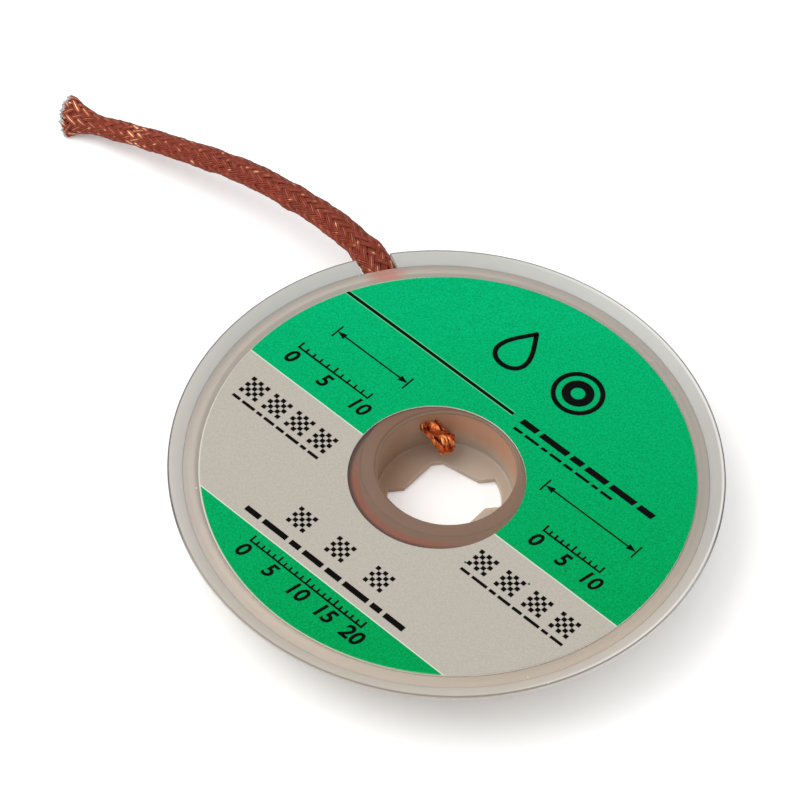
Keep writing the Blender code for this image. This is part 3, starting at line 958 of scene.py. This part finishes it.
braid_copper = make_copper("braid_copper", (0.27, 0.047, 0.026, 1), (1.0, 0.5, 0.27, 1), (0.25, 0.4), 2600.0)
hook_copper = make_copper("hook_copper", (0.52, 0.085, 0.018, 1), (1.0, 0.39, 0.13, 1), (0.42, 0.6), 1300.0)
print("coppers:", braid_copper.name, hook_copper.name)

# %% [markdown]
# ## The free end
#
# The braid is a sleeve of 24 carriers, twelve turning one way and twelve the other, each a ribbon of three
# wires. Every carrier passes over two others and then under two. Pulled narrow, the sleeve has an oval
# section. A texture could fake this, but the outline of real braid is knobbly and its wires glint one by
# one, so each carrier is modelled: its middle line winds round the oval, and a corrugated section of three
# wires is carried along it.

# %% The route and its frame
TAIL_ROUTE_MM = [
    (-4.2, 22.95, 3.6), (-5.2, 24.7, 3.65), (-6.45, 26.6, 4.0), (-8.3, 29.0, 4.6), (-10.75, 31.4, 4.95),
    (-13.3, 33.65, 5.0), (-16.0, 35.75, 4.9), (-18.75, 37.9, 4.65), (-21.6, 39.85, 4.25),
    (-24.6, 41.6, 3.8), (-27.6, 43.2, 3.3), (-30.6, 44.8, 2.75), (-33.7, 46.3, 2.2),
    (-36.8, 47.8, 1.65), (-40.1, 49.5, 1.2),
]


def even_route(points_mm, samples):
    """Points at equal steps along a smooth curve through the given ones, where each stretch is the cubic
    p0 + (p2 - p)t/2 + (2p - 5p0 + 4p1 - p2)t^2/2 + ... of Catmull and Rom, and the total length in mm."""
    p = np.array(points_mm, float)
    p = np.vstack([2 * p[0] - p[1], p, 2 * p[-1] - p[-2]])
    a, b, c, d = (p[i : len(p) - 3 + i, None] for i in range(4))
    t = np.linspace(0, 1, 24, endpoint=False)[None, :, None]
    dense = (2 * b + (c - a) * t + (2 * a - 5 * b + 4 * c - d) * t**2 + (3 * b - a - 3 * c + d) * t**3) / 2
    dense = np.vstack([dense.reshape(-1, 3), p[-2]])
    travelled = np.concatenate([[0], np.cumsum(np.linalg.norm(np.diff(dense, axis=0), axis=1))])
    goal = np.linspace(0, travelled[-1], samples)
    return np.stack([np.interp(goal, travelled, dense[:, k]) for k in range(3)], 1), travelled[-1]


def route_frame(route):
    """Sideways (level) and upward directions across a route: side = Z x forward, up = forward x side."""
    forward = unit(np.gradient(route, axis=0))
    side = unit(np.cross(np.array([0.0, 0.0, 1.0]), forward))
    return side, np.cross(forward, side)


tail_route, tail_length = even_route(TAIL_ROUTE_MM, 250)
tail_s = np.linspace(0, tail_length, len(tail_route))
print("free end", round(tail_length, 2), "mm long")

# %% Wires and carriers
TABLE_CLEARANCE_MM = 0.02


def ribbon_section(wires, width, thickness):
    """Section of a ribbon of round wires side by side: three points over each wire, flat underneath.
    Columns are the place across the ribbon and the height above its middle."""
    step = width / wires
    first = np.arange(wires)[:, None] * step - width / 2
    across = (first + step * np.array([0.0, 0.27, 0.73])).ravel()
    height = np.tile([-0.05, 0.5, 0.5], wires) * thickness
    top = np.column_stack([np.append(across, width / 2), np.append(height, -0.05 * thickness)])
    under = np.array([[0.42, -0.5], [0.0, -0.5], [-0.42, -0.5]]) * (width, thickness)
    return np.vstack([top, under])


def swept(centre, outward, section, scale=1.0):
    """Carry a flat section along middle lines (strands, stations, 3): point = centre + across * side +
    height * outward, with side = forward x outward. Returns rings (strands, stations, ring, 3)."""
    forward = unit(np.gradient(centre, axis=1))
    side = unit(np.cross(forward, outward))
    outward = np.cross(side, forward)
    scale = np.broadcast_to(scale, centre.shape[:2])[..., None, None]
    across, height = section[None, None, :, 0, None] * scale, section[None, None, :, 1, None] * scale
    return centre[:, :, None] + across * side[:, :, None] + height * outward[:, :, None]


def strand_mesh(name, ring_sets, wear_and_glint_sets, tinned_sets):
    """One mesh of many capped strands. Each set is rings (strands, stations, ring, 3) in mm with two values
    (strands, stations, ring or 1): one for the attribute of wear and painted glints, and one for `tinned`.
    Nothing goes below the table."""
    points, faces, first = [], [], 0
    for rings in ring_sets:
        index = first + np.arange(rings[..., 0].size).reshape(rings.shape[:3])
        faces += [joined(index, False, True), index[:, 0, ::-1], index[:, -1]]
        points.append(np.maximum(rings, [-np.inf, -np.inf, TABLE_CLEARANCE_MM]).reshape(-1, 3) * MM)
        first += index.size
    mesh = new_mesh(name, np.vstack(points), faces, 75.0)
    for value_name, sets in (("wear_and_glint", wear_and_glint_sets), ("tinned", tinned_sets)):
        spread = [np.broadcast_to(value, rings.shape[:3]).ravel() for value, rings in zip(sets, ring_sets)]
        attribute = mesh.attributes.new(value_name, "FLOAT", "POINT")
        attribute.data.foreach_set("value", np.concatenate(spread).astype(np.float32))
    return mesh


# %% Over the rim


def ride_up(route, s):
    """The flattened braid is thinner than the round cord of the solids, so where it squeezes out from under
    the disc it lies higher in the rim's dip. Each point moves by (0, -0.75, 1) times a height over s, a
    little towards -Y in its middle, and a little to the left where the braid is widest."""
    rise = np.interp(s, [0, 1.6, 2.8, 4.2, 5.5, 9, 13, 18], [0, 0.1, 0.5, 1.05, 1.0, 0.5, 0.15, 0.0])
    rise = np.convolve(np.pad(rise, 4, mode="edge"), np.ones(9) / 9, mode="valid")
    sag = np.interp(s, [5, 9, 30, 38], [0, 0.15, 0.15, 0])
    aside = np.interp(s, [0, 3, 6, 12], [0.1, 0.2, 0.15, 0.0])
    moved = route + rise[:, None] * np.array([0, -0.75, 1.0]) - sag[:, None] * np.array([0, 1.0, 0])
    return moved - aside[:, None] * np.array([1.0, 0, 0])


tail_route = ride_up(tail_route, tail_s)
print("highest point of the free end's middle", round(tail_route[:, 2].max(), 2), "mm")

# %% The sleeve of carriers
CARRIERS_EACH_WAY = 12
TURN_LENGTH_MM = 14.0
WEAVE_LIFT_MM = 0.046


def over_two_under_two(crossing):
    """1 while a carrier passes over and -1 while it passes under, with a period of four crossings."""
    return np.clip(1.7 * np.cos(math.tau * (crossing - 0.5) / 4), -1, 1)


def rolled(side, up, degrees):
    """Side and up turned about the route by an angle for each station."""
    c, s = np.cos(np.radians(degrees))[:, None], np.sin(np.radians(degrees))[:, None]
    return c * side - s * up, s * side + c * up


def cut_back(x, route):
    """How far a strand at the place x across the braid is moved along it near the end, in mm: the cut is
    slanted and rounded, 0.5 - 0.25 x - 0.13 x^2, and fades in over the last 3.5 mm."""
    steps = len(route) - 1 - np.arange(len(route))
    left = steps * np.linalg.norm(route[-1] - route[-2])
    return (0.5 - 0.25 * x - 0.13 * x**2) * np.clip(1 - left / 3.5, 0, 1)


def sleeve(route, wide, thick, roll, wander):
    """Middle lines and outward directions of all carriers, and how high each lies. Carrier i of the first
    set lies at the angle 2 pi i / 12 + w and carrier j of the second at 2 pi j / 12 - w, where w grows by a
    full turn each turn length. They cross when 12 w / pi is a whole number c, and the first lies on top if
    2i + c, counted in fours, is 0 or 1."""
    side, up = rolled(*route_frame(route), roll)
    travelled = np.concatenate([[0], np.cumsum(np.linalg.norm(np.diff(route, axis=0), axis=1))])
    w = math.tau * travelled / TURN_LENGTH_MM
    number = np.arange(CARRIERS_EACH_WAY)[:, None]
    start = math.tau * number / CARRIERS_EACH_WAY
    crossing = CARRIERS_EACH_WAY * w / math.pi
    angle = np.vstack([start + w, start - w])
    lift = np.vstack([over_two_under_two(2 * number + crossing), -over_two_under_two(2 * number - crossing)])
    angle = angle + wander[0]
    x, y = wide * np.cos(angle), thick * np.sin(angle)
    outward_flat = unit(np.stack([np.cos(angle) / wide, np.sin(angle) / thick], -1))
    outward = outward_flat[..., :1] * side + outward_flat[..., 1:] * up
    forward = unit(np.gradient(route, axis=0))
    centre = route + x[..., None] * side + y[..., None] * up + cut_back(x, route)[..., None] * forward
    return centre + (WEAVE_LIFT_MM * lift + wander[1])[..., None] * outward, outward, lift


def slow_waves(count, stations, waves, size, seed):
    """Smooth random curves: sums of four sines with random turns and starts."""
    pick = np.random.default_rng(seed)
    t = np.linspace(0, 1, stations)[None, :, None]
    turns = pick.uniform(0.4, 1.0, (count, 1, 4)) * waves
    return size * np.sin(math.tau * (turns * t + pick.uniform(0, 1, (count, 1, 4)))).mean(-1)


# %% Width, thickness and wear along the free end
# Each table holds places and the values there, in mm. The first three count from the disc, the last two
# from the cut tip, where the braid opens like a brush.
HALF_WIDTH_ALONG = (
    [0, 3, 5, 9, 14, 19, 26, 31, 36, 41],
    [1.6, 1.7, 1.63, 1.46, 1.4, 1.36, 1.3, 1.26, 1.14, 0.98],
)
HALF_THICKNESS_ALONG = ([0, 3, 9, 14, 26, 31, 41], [0.6, 0.64, 0.82, 0.9, 0.88, 0.8, 0.7])
# how bright the crests are along the free end: wear with painted glints where it bends out over the rim, a
# row of painted glints at 36 to 38 mm, and more painted glints towards the tip
WEAR_AND_GLINT_ALONG = (
    [0, 3, 6, 36.0, 36.6, 37.6, 38.2, 42.5, 44.5],
    [0.6, 0.45, 0.12, 0.1, 1, 1, 0.12, 0.2, 0.75],
)
TIP_WIDER = ([0, 0.6, 1.6, 3.4], [1.0, 1.05, 0.6, 0.0])
TIP_THICKER = ([0, 0.6, 3.2], [0.12, 0.2, 0.0])
# across a carrier's section, most on the middle wire, which makes each glint a thin painted line
WIRE_WEAR_AND_GLINT = np.array([0.0, 0.1, 0.1, 0.5, 1, 1, 0.5, 0.1, 0.1, 0, 0, 0, 0])


def tail_roll(s):
    """The flattened end stands half on edge: the roll in degrees over s."""
    return np.interp(tail_length - s, [0, 3, 12], [32, 24, 0])


def tinned_share(left):
    """1 over the last 0.2 mm, where solder has turned the cut wires silver, and 0 from 0.3 mm on."""
    return np.clip((0.3 - left) / 0.08, 0, 1)[:, None]


def tail_rings():
    """Rings of the carriers, with their wear and painted glints and how tinned they are. The crests of the
    carriers are bright where the braid bends and in odd spots elsewhere, partly from wear and partly as
    painted glints, most on each middle wire."""
    stations, count = len(tail_route), 2 * CARRIERS_EACH_WAY
    left = tail_length - tail_s
    wide = np.interp(tail_s, *HALF_WIDTH_ALONG) + np.interp(left, *TIP_WIDER)
    thick = np.interp(tail_s, *HALF_THICKNESS_ALONG) + np.interp(left, *TIP_THICKER)
    wide = wide + slow_waves(1, stations, 18, 0.16, 4)[0]
    thick = thick + slow_waves(1, stations, 15, 0.11, 5)[0]
    wander = (slow_waves(count, stations, 9, 0.15, 1), slow_waves(count, stations, 40, 0.04, 2))
    centre, outward, lift = sleeve(tail_route, wide, thick, tail_roll(tail_s), wander)
    splay = slow_waves(count, stations, 6, 0.3, 7) * np.clip(1 - left / 1.3, 0, 1) ** 2
    centre = centre + splay[..., None] * outward
    width = 1.0 + slow_waves(count, stations, 20, 0.14, 3)
    rings = swept(centre, outward, ribbon_section(3, 0.6, 0.16), width)
    crest = np.clip(1.4 * lift - 0.2, 0, 1)
    # odd bright spots on the crests: painted glints
    spots = np.clip(4 * slow_waves(count, stations, 55, 1.0, 6) - 2.2, 0, 0.6)
    one_way = np.where(np.arange(count) < CARRIERS_EACH_WAY, 1.0, 0.4)[:, None]
    glint_and_wear_along = np.interp(tail_s, *WEAR_AND_GLINT_ALONG) * one_way
    wear_and_glint = np.clip(glint_and_wear_along * crest + spots * crest, 0, 1)[..., None] * WIRE_WEAR_AND_GLINT
    return rings, wear_and_glint, tinned_share(left)


# %% Strands inside the sleeve


def core_rings(route, wide, thick, roll, count, seed, section):
    """Strands inside the sleeve: each keeps its own wandering place in the oval along the whole route."""
    stations = len(route)
    side, up = rolled(*route_frame(route), roll)
    home = np.random.default_rng(seed + 2).uniform(0, math.tau, (count, 1))
    away = np.sqrt(np.random.default_rng(seed + 3).uniform(0.05, 0.8, (count, 1)))
    x = (away * np.cos(home) + slow_waves(count, stations, 3, 0.4, seed)) * wide
    y = (away * np.sin(home) + slow_waves(count, stations, 3, 0.4, seed + 1)) * thick
    forward = unit(np.gradient(route, axis=0))
    centre = route + x[..., None] * side + y[..., None] * up + cut_back(x, route)[..., None] * forward
    angle = np.random.default_rng(seed).uniform(0, math.tau, (count, 1, 1))
    outward = np.cos(angle) * side + np.sin(angle) * up
    return swept(centre, outward, section)


# %% The free end in one mesh
INNER_PART, TIP_PART = slice(0, 236, 5), slice(-22, None)
TIP_STRANDS = 44
sleeve_rings, sleeve_wear_and_glint, sleeve_tinned = tail_rings()
inner_roll, tip_roll = tail_roll(tail_s[INNER_PART]), tail_roll(tail_s[TIP_PART])
core = core_rings(tail_route[INNER_PART], 0.85, 0.55, inner_roll, 9, 21, ribbon_section(2, 0.4, 0.25))
tip_left = tail_length - tail_s[TIP_PART]
tip_open = np.interp(tip_left, [0, 0.6, 1.6, 3.9], [1.75, 1.8, 1.4, 0.75])
tip_section = ribbon_section(2, 0.3, 0.2)
tip = core_rings(tail_route[TIP_PART], tip_open, 0.42 * tip_open, tip_roll, TIP_STRANDS, 25, tip_section)
# painted glints on the strands of the open tip
tip_wear_and_glint = np.clip(2.4 * slow_waves(TIP_STRANDS, len(tip_left), 6, 1.0, 51) - 0.1, 0, 1)[..., None]
tail_mesh = strand_mesh(
    "free_braid",
    [sleeve_rings, core, tip],
    [sleeve_wear_and_glint, np.zeros(1), tip_wear_and_glint],
    [sleeve_tinned, np.zeros(1), tinned_share(tip_left)],
)
tail = new_piece("free_braid", tail_mesh, braid_copper, "braid_tail", slot="copper_braid")

# %% [markdown]
# ## The wound braid
#
# Under the disc the braid stands on edge and winds round the hub in a flat spiral of fifteen turns. It only
# shows through milky plastic, so its weave is a pattern and not modelled wires. The strip is one grid:
# stations along the spiral, and a rounded section across it.

# %% Spiral strip
COIL_TURNS, COIL_INNER_MM, COIL_STEP_MM = 15, 9.5, 0.87
COIL_LOW_MM, COIL_HIGH_MM = 0.9, 4.4
STATIONS_EACH_TURN, COIL_START_DEGREES = 72, 96


def coil_mesh():
    """Middle line r = r0 + step * turns, angle growing with the turns; the section is an upright rounded
    strip 0.8 mm thick whose edges waver by up to 0.12 mm."""
    stations = COIL_TURNS * STATIONS_EACH_TURN
    turns = np.linspace(0, COIL_TURNS, stations)
    angle = math.radians(COIL_START_DEGREES) + math.tau * turns
    radius = COIL_INNER_MM + 0.42 + (COIL_STEP_MM * COIL_TURNS - 0.86) * turns / COIL_TURNS
    strip = rounded([(-0.4, -1.7, 0.3), (0.4, -1.7, 0.3), (0.4, 1.7, 0.3), (-0.4, 1.7, 0.3)], 3)
    waver = slow_waves(2, stations, 90, 0.12, 31)
    middle = (COIL_LOW_MM + COIL_HIGH_MM) / 2
    height = strip[None, :, 1] * (1 + waver[0][:, None] / 3) + middle + 0.2 * waver[1][:, None]
    height = np.clip(height, COIL_LOW_MM, COIL_HIGH_MM)
    out = radius[:, None] + strip[None, :, 0]
    grid = np.stack([out * np.cos(angle[:, None]), out * np.sin(angle[:, None]), height], -1) * MM
    index = np.arange(grid.shape[0] * grid.shape[1]).reshape(grid.shape[:2])
    mesh = new_mesh("wound_braid", grid, [joined(index, False, True), index[:1, ::-1], index[-1:]], 60)
    length = np.concatenate([[0], np.cumsum(radius[1:] * np.diff(angle))])
    print("braid in the coil", round(length[-1] / 1000, 2), "m")
    values = np.broadcast_to(length[:, None], index.shape).ravel() * MM
    mesh.attributes.new("along", "FLOAT", "POINT").data.foreach_set("value", values.astype(np.float32))
    return mesh


# %% Woven copper
RIDGES_PER_M = 5200.0


def make_woven_copper():
    """Copper whose height is a weave: two sets of ridges that slant opposite ways, sin(k (along + height))
    and sin(k (along - height)), each showing where it is the higher one."""
    made, tree, shader = new_finish("woven_copper", Metallic=0.8, Roughness=0.42)
    place, split = place_of(tree)
    run = add_node(tree, "ShaderNodeAttribute", {"attribute_name": "along"}).outputs["Fac"]
    slants = [maths(tree, operation, run, split.outputs["Z"]) for operation in ("ADD", "SUBTRACT")]
    ridges = [maths(tree, "SINE", maths(tree, "MULTIPLY", slant, RIDGES_PER_M)) for slant in slants]
    weave = maths(tree, "MAXIMUM", *ridges)
    tone = place_group(
        tree, MOTTLE, place, Scale=700.0, Strength=2.0,
        First_Color=(0.62, 0.17, 0.07, 1), Second_Color=(0.34, 0.08, 0.035, 1),
    )
    # the low parts of the weave are darkened: painted shade
    shade = add_node(tree, "ShaderNodeMapRange", None, {"Value": weave, 1: -1.0, 2: 1.0, 3: 0.5, 4: 0.0})
    colour = layered(tree, tone.outputs["Color"], (0.12, 0.03, 0.015, 1), shade.outputs["Result"])
    tree.links.new(colour, shader.inputs["Base Color"])
    add_bump(tree, shader, weave, 0.0001)
    return made


coil = new_piece("wound_braid", coil_mesh(), make_woven_copper(), "braid_coil", slot="copper_braid")

# %% [markdown]
# ## The hooked inner end
#
# The coil starts with the braid's inner end poked through a slot in the hub, where it is left folded over
# so that it can't pull out. Here the weave has fallen open into loose strands. Each strand follows the
# hook, wanders, and folds back on itself at the tip, which gives the blunt, looped end.

# %% Hooked inner end
HOOK_START_MM = (9.2, -0.35, 3.4)
HOOK_STEPS_MM = [
    (8.3, -0.65, 3.6), (7.3, -0.95, 3.7), (6.5, -1.15, 3.55),
    (5.6, -1.45, 3.2), (4.8, -1.95, 2.75), (4.05, -2.5, 2.2),
]


def there_and_back(t, reach, last):
    """Place on the route, counted in its points: down it for four fifths of t and then back up, with the
    turn smoothed, times each strand's own reach."""
    down = np.where(t < 0.8, t / 0.8, 1 - (t - 0.8) * 0.9)
    soft = np.convolve(np.pad(down, 4, mode="edge"), np.ones(9) / 9, mode="valid")
    return np.clip(soft * reach, 0, 1) * last


def read_at(rows, place):
    """Rows (n, 3) read at places between their numbers, in a straight blend of the two neighbours."""
    at = np.arange(len(rows))
    return np.stack([np.interp(place, at, rows[:, k]) for k in range(3)], -1)


def hook_rings(route, side, up):
    """Strands at places (x, y) in the hook's section, with their wear and painted glints. They run down the
    hook and back up it on the other side of the bundle, so that the tip is made of loops, which carry a
    painted highlight."""
    count, stations = 15, 90
    t = np.linspace(0, 1, stations)
    reach = np.random.default_rng(41).uniform(0.93, 1.0, (count, 1))
    place = there_and_back(t, reach, len(route) - 1)
    side_at, up_at = read_at(side, place), read_at(up, place)
    flip = np.cos(math.pi * np.clip((t - 0.68) / 0.24, 0, 1))
    open_up = np.interp(t, [0, 0.3, 0.5, 0.75, 1], [0.7, 0.8, 1.0, 1.3, 1.1])
    home = np.random.default_rng(43).uniform(0, math.tau, (count, 1))
    radius = np.sqrt(np.random.default_rng(44).uniform(0.1, 1, (count, 1)))
    x = (1.15 * radius * np.cos(home) * flip * open_up) + slow_waves(count, stations, 6, 0.45, 45) * open_up
    y = (0.62 * radius * np.sin(home) * flip * open_up) + slow_waves(count, stations, 6, 0.35, 46) * open_up
    centre = read_at(route, place) + x[..., None] * side_at + y[..., None] * up_at
    roll = home[..., None] + slow_waves(count, stations, 2, 1.5, 47)[..., None]
    outward = np.cos(roll) * side_at + np.sin(roll) * up_at
    # a painted highlight on the loops at the tip, over wear and glints that vary along each strand
    at_loops = 0.5 * np.exp(-(((t - 0.79) / 0.06) ** 2))
    wear_and_glint = np.clip(0.5 + slow_waves(count, stations, 5, 1.6, 48) + at_loops, 0, 1)
    return swept(centre, outward, ribbon_section(3, 0.36, 0.15)), wear_and_glint[..., None]


def stray_rings(route, side, up):
    """Four stray wires that stand up where the hook leaves the wall and lean back towards it."""
    root = 28
    rise = np.linspace(0, 1, 12)[None, :]
    x = np.array([[-0.75], [-0.3], [0.35], [0.8]]) + 0.25 * np.array([[1], [-1], [1], [-1]]) * rise**2
    centre = route[root] + x[..., None] * side[root] + (0.2 + 0.95 * rise[..., None]) * up[root]
    centre = centre - (0.5 * rise[..., None]) * unit(np.gradient(route, axis=0))[root]
    return swept(centre, np.broadcast_to(side[root], centre.shape), ribbon_section(1, 0.13, 0.1))


def hook_mesh():
    """The looped strands and the stray wires of the inner end."""
    points = turned_by(np.array([HOOK_START_MM, *HOOK_STEPS_MM]), HOOK_ANGLE)
    route, length = even_route(points, 60)
    side, up = route_frame(route)
    rings, wear_and_glint = hook_rings(route, side, up)
    print("hooked end", round(length, 2), "mm long")
    untinned = np.zeros(1)
    return strand_mesh(
        "hooked_end", [rings, stray_rings(route, side, up)], [wear_and_glint, np.full(1, 0.3)], [untinned, untinned]
    )


hook = new_piece("hooked_end", hook_mesh(), hook_copper, "braid_inner_end", slot="copper_braid")

# %% [markdown]
# ## Floor and light
#
# The spool lies on a plain white table. Most of the light is soft and comes from all around, and a large
# lamp up on the left gives the shine on the rim and lights the far side of the bore.

# %% Floor
FLOOR_HALF_M, FLOOR_POINTS, FLOOR_DROP_M = 1.5, 9, 0.00005
floor_finish, floor_tree, floor_shader = new_finish("white_table", Roughness=0.8, Emission_Strength=0.12)
floor_shader.inputs["Emission Color"].default_value = (1.0, 1.0, 1.0, 1)
floor_place, _ = place_of(floor_tree)
floor_tone = place_group(
    floor_tree, MOTTLE, floor_place, Scale=30.0, Strength=0.4,
    First_Color=(0.93, 0.93, 0.93, 1), Second_Color=(0.90, 0.90, 0.90, 1),
)
floor_tree.links.new(floor_tone.outputs["Color"], floor_shader.inputs["Base Color"])
floor_edge = np.linspace(-FLOOR_HALF_M, FLOOR_HALF_M, FLOOR_POINTS)
floor_x, floor_y = np.meshgrid(floor_edge, floor_edge, indexing="ij")
floor_grid = np.stack([floor_x, floor_y, np.full(floor_x.shape, -FLOOR_DROP_M)], -1)
floor_index = np.arange(FLOOR_POINTS**2).reshape(FLOOR_POINTS, FLOOR_POINTS)
floor_mesh = new_mesh("table_top", floor_grid, [joined(floor_index, False, False)[:, ::-1]])
floor = bpy.data.objects.new("table_top", floor_mesh)
bpy.context.scene.collection.objects.link(floor)
floor_mesh.materials.append(floor_finish)
print("table", 2 * FLOOR_HALF_M, "m wide")

# %% Light
SKY_AT_HORIZON, SKY_OVERHEAD = 0.5, 1.15


def make_studio(at_horizon, overhead):
    """A soft white dome: its strength grows with the sine of the direction's elevation."""
    world = bpy.data.worlds.new("studio")
    world.use_nodes = True
    tree = world.node_tree
    background = tree.nodes["Background"]
    background.inputs["Color"].default_value = (1.0, 0.995, 0.985, 1)
    direction = add_node(tree, "ShaderNodeTexCoord").outputs["Generated"]
    height = add_node(tree, "ShaderNodeSeparateXYZ", None, {"Vector": direction}).outputs["Z"]
    limits = {"Value": height, 1: 0.0, 2: 1.0, 3: at_horizon, 4: overhead}
    strength = add_node(tree, "ShaderNodeMapRange", None, limits)
    tree.links.new(strength.outputs["Result"], background.inputs["Strength"])
    return world


bpy.context.scene.world = make_studio(SKY_AT_HORIZON, SKY_OVERHEAD)


def add_lamp(name, place, target, size, power):
    """A square white area light at a place, aimed at a target."""
    data = bpy.data.lights.new(name, "AREA")
    data.shape, data.size, data.energy = "SQUARE", size, power
    made = bpy.data.objects.new(name, data)
    bpy.context.scene.collection.objects.link(made)
    back = unit(np.array(place, float) - np.array(target, float))
    right = unit(np.cross(np.array([0.0, 0.0, 1.0]), back))
    matrix = np.eye(4)
    matrix[:3, 0], matrix[:3, 1], matrix[:3, 2], matrix[:3, 3] = right, np.cross(back, right), back, place
    made.matrix_world = Matrix(matrix.tolist())
    return made


lamp = add_lamp("window_left", (-0.42, 0.1, 0.5), (0, 0, 0), 0.6, 2.4)
print("lamp", lamp.name, "and a dome from", SKY_AT_HORIZON, "to", SKY_OVERHEAD)
